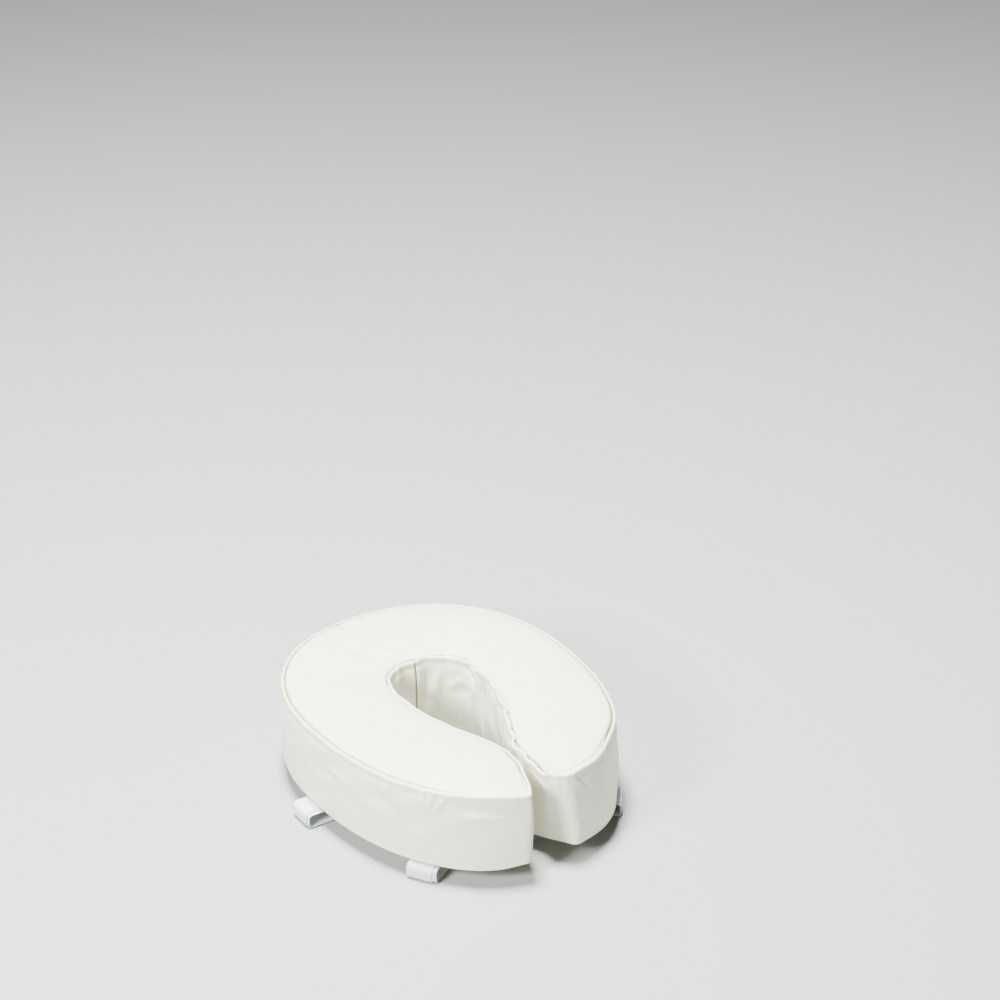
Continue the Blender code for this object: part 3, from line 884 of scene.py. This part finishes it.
def addStrap(name, label):
    # Webbing and tape follow one path of rounded folds, cut in the middle of each run, so that each piece
    # bends across one fold
    s = strap
    folds, outwards, sideways = strapFrame(name)
    origin = folds[0]
    tabStart = reachOf(f"{name}_tab", outwards)[0] - origin @ outwards
    flapEnd = reachOf(f"{name}_flap", outwards)[0] - origin @ outwards
    flat = [np.array([(fold - origin) @ outwards, (fold - origin)[2]]) for fold in folds]
    corners = [np.array([tabStart, 0.0]), *flat[1:], np.array([flapEnd, flat[4][1]])]
    path = filletPath(corners, s["bends"], s["step"])
    along = np.gradient(path, axis=0)
    along /= np.linalg.norm(along, axis=1)[:, None]

    def inSpace(pairs):
        return pairs[:, :1] * outwards + pairs[:, 1:] * up

    place = origin + inSpace(path)
    facing = inSpace(np.stack([-along[:, 1], along[:, 0]], axis=1))
    direction = inSpace(along)
    middles = [(flat[number] + flat[number + 1]) / 2 for number in range(4)]
    cuts = [0, *(int(np.argmin(np.linalg.norm(path - middle, axis=1))) for middle in middles), len(path) - 1]
    tapeFrom = int(np.argmin(np.abs(path[:, 0] - 0.0030) + 10 * np.abs(path[:, 1])))
    runs = ["tab", "top_run", "outer_drop", "under_run", "inner_riser", "flap"]
    pieces = ["TabEnd", "OuterCorner", "LowerCorner", "InnerCorner", "FlapEnd"]
    webbingLift, tapeLift = (s["tape"] + s["gap"]) / 2, -(s["webbing"] + s["gap"]) / 2
    webbingProfile = roundedStrip(36, s["width"], s["webbing"])
    tapeProfile = roundedStrip(36, s["width"], s["tape"])
    shift = s["tapeShift"] / 2
    for number, part in enumerate(pieces):
        first, last = cuts[number], cuts[number + 1] + 1
        a = "cushion" if number == 0 else f"{name}_{runs[number]}"
        b = f"{name}_{runs[number + 1]}"
        nodes = [b] + ([f"{name}_tab"] if number == 0 else [])
        points, faces, uv = sweep(
            place[first:last], facing[first:last], sideways, webbingProfile, -shift, webbingLift)
        piece = makePiece(f"{label}Webbing{part}", points, faces, webbing, uv=uv)
        finishPiece(piece, (a, b), nodes)
        start = max(first, tapeFrom)
        points, faces, uv = sweep(
            place[start:last], facing[start:last], sideways, tapeProfile, shift, tapeLift)
        piece = makePiece(f"{label}HookTape{part}", points, faces, hookTape, uv=uv)
        finishPiece(piece, (a, b), [f"{b}_tape"])
        chosen = stitchSteps(start, last)
        points, faces = edgeStitches(place[chosen], direction[chosen], facing[chosen], sideways)
        piece = makePiece(f"{label}Stitches{part}", points, faces, thread)
        finishPiece(piece, (a, b))
    addTabStitches(name, label, outwards, sideways)
    addPatch(name, label, outwards, sideways)


def stitchSteps(first, last):
    # Numbers of the path's points that carry a stitch
    every = int(round(strap["stitchPitch"] / strap["step"]))
    return np.arange(first + every // 2, last - every // 2, every)


def edgeStitches(place, direction, facing, sideways):
    # Two rows of stitches that hold the tape to the webbing, a little inside both edges of where they overlap
    s = strap
    overlap = (s["width"] - s["tapeShift"]) / 2 - s["stitchEdge"]
    lift = (s["tape"] + s["gap"] + s["webbing"]) / 2
    places = np.concatenate([place + sideways * side + facing * lift for side in (-overlap, overlap)])
    twice = (np.tile(direction, (2, 1)), np.tile(facing, (2, 1)))
    return stitches(places, *twice, s["stitchLength"], s["stitchWide"])


def stitchedLine(start, end, pitch):
    # Places at equal steps between two points, and the direction for each
    length = np.linalg.norm(end - start)
    count = max(int(length / pitch), 1)
    share = (np.arange(count) + 0.5)[:, None] / count
    return start + (end - start) * share, np.repeat(((end - start) / length)[None], count, axis=0)


def addSewing(name, corners, lines, pitch, wide, nodes=()):
    # Stitches that face down, along several lines between numbered corners
    places, along = zip(*[stitchedLine(corners[a], corners[b], pitch) for a, b in lines])
    places = np.concatenate(places)
    downwards = np.repeat(-up[None], len(places), axis=0)
    points, faces = stitches(places, np.concatenate(along), downwards, strap["stitchLength"], wide)
    finishPiece(makePiece(name, points, faces, thread), ("cushion",), nodes=nodes)


def addTabStitches(name, label, outwards, sideways):
    # A sewn square with its diagonals, under the tab
    node = f"{name}_box_stitch"
    o, w = reachOf(node, outwards), reachOf(node, sideways)
    z = reachOf(f"{name}_tab", up)[0] - 0.00005
    corners = [outwards * o[i] + sideways * w[j] + up * z for i, j in ((0, 0), (1, 0), (1, 1), (0, 1))]
    lines = [(0, 1), (1, 2), (2, 3), (3, 0), (0, 2), (1, 3)]
    addSewing(f"{label}BoxStitch", corners, lines, strap["boxPitch"], strap["boxWide"], [node])


def addPatch(name, label, outwards, sideways):
    # A pad of loops, flat above and tufted below: its thickness is (1 - c^16)^0.4, where c is the larger of
    # the shares a and b of the way from its middle to its edges
    node = f"{name}_patch"
    rows, columns = 71, 61
    o, w, z = (reachOf(node, axis) for axis in (outwards, sideways, up))
    long, wide, half = (o[1] - o[0]) / 2, (w[1] - w[0]) / 2, (z[1] - z[0]) / 2
    a = np.linspace(-1, 1, rows)[:, None] + np.zeros((1, columns))
    b = np.linspace(-1, 1, columns)[None, :] + np.zeros((rows, 1))
    edge = np.clip(1 - np.maximum(np.abs(a), np.abs(b)) ** 16, 0, 1) ** 0.4
    pile = 0.00012 * ripple(a * 0.031 + b * 0.007, (0.0031, 0.0043, 0.0022), 3)
    pile = pile * ripple(b * 0.019, (0.0027, 0.0039), 4)
    centre = outwards * sum(o) / 2 + sideways * sum(w) / 2 + up * sum(z) / 2
    base = centre + outwards * (a * long)[..., None] + sideways * (b * wide)[..., None]
    below = base - up * (half * edge - np.abs(pile) * edge)[..., None]
    above = base + up * (half * edge)[..., None]
    upper = gridFaces(rows, columns)
    lower = upper[:, ::-1]
    if np.dot(np.cross(outwards, sideways), up) > 0:
        upper, lower = lower, upper
    points = np.concatenate([above.reshape(-1, 3), below.reshape(-1, 3)])
    verts, faces, _ = weld(points, np.concatenate([upper, lower + rows * columns]))
    piece = makePiece(f"{label}LoopPatch", verts, faces, loopTape)
    finishPiece(piece, ("cushion",), nodes=[node])
    long, wide = long - strap["patchInset"], wide - strap["patchInset"]
    corners = [centre + outwards * x * long + sideways * y * wide - up * (half * 0.96)
               for x, y in ((-1, -1), (1, -1), (1, 1), (-1, 1))]
    lines = [(0, 1), (1, 2), (2, 3), (3, 0)]
    addSewing(f"{label}PatchStitches", corners, lines, strap["patchPitch"], strap["patchWide"])


for place in ("middle", "front"):
    for side in ("left", "right"):
        addStrap(f"{place}_{side}_strap", place + side.capitalize() + "Strap")
print("straps made")


studio = {
    "camera": (-1.4008, -2.3162, 1.7681), "azimuth": -32.42, "elevation": 27.10, "lens": 95.0,
    "world": 0.16, "floor": (0.34, 0.34, 0.34), "floorZ": -0.0006, "floorHalf": 6.0,
    "aim": (0.0, 0.0, 0.06),
    "above": {"place": (-0.20, 0.10, 3.0), "size": 0.6, "power": 590.0},
    "key": {"place": (-2.05, -0.70, 1.45), "size": 0.6, "power": 175.0},
    "fill": {"place": (-0.6, 2.2, 1.2), "size": 1.5, "power": 8.0},
}


def addCamera():
    # A long lens, turned about the upright by the azimuth and tilted down by the elevation
    camera = bpy.data.objects.new("camera", bpy.data.cameras.new("camera"))
    camera.data.lens = studio["lens"]
    camera.data.clip_start = 0.05
    camera.location = studio["camera"]
    turn, tilt = radians(-studio["azimuth"]), radians(studio["elevation"])
    direction = Vector((sin(turn) * cos(tilt), cos(turn) * cos(tilt), -sin(tilt)))
    camera.rotation_euler = direction.to_track_quat("-Z", "Y").to_euler()
    scene.collection.objects.link(camera)
    scene.camera = camera


def addLight(name, place, size, power):
    # A square soft light that faces the cushion
    light = bpy.data.lights.new(name, "AREA")
    light.size = size
    light.energy = power
    lamp = bpy.data.objects.new(name, light)
    lamp.location = place
    lamp.rotation_euler = (Vector(studio["aim"]) - Vector(place)).to_track_quat("-Z", "Y").to_euler()
    scene.collection.objects.link(lamp)


def addFloor():
    # A plain pale floor, a little below the lowest run of the straps
    nodes = Nodes("paleFloor")
    nodes.set(Base_Color=(*studio["floor"], 1.0), Roughness=0.9, Specular_IOR_Level=0.1)
    corners = np.array([[-1, -1, 0], [1, -1, 0], [1, 1, 0], [-1, 1, 0]]) * studio["floorHalf"]
    corners[:, 2] = studio["floorZ"]
    floor = makePiece("floor", corners, np.array([[0, 1, 2, 3]]), nodes.material)


def addWorld():
    # Even white light from all round
    world = bpy.data.worlds.new("studio")
    world.use_nodes = True
    background = world.node_tree.nodes["Background"]
    background.inputs["Color"].default_value = (1.0, 1.0, 1.0, 1.0)
    background.inputs["Strength"].default_value = studio["world"]
    scene.world = world


addCamera()
addWorld()
addFloor()
for light in ("above", "key", "fill"):
    addLight(light, **studio[light])
print("studio made")
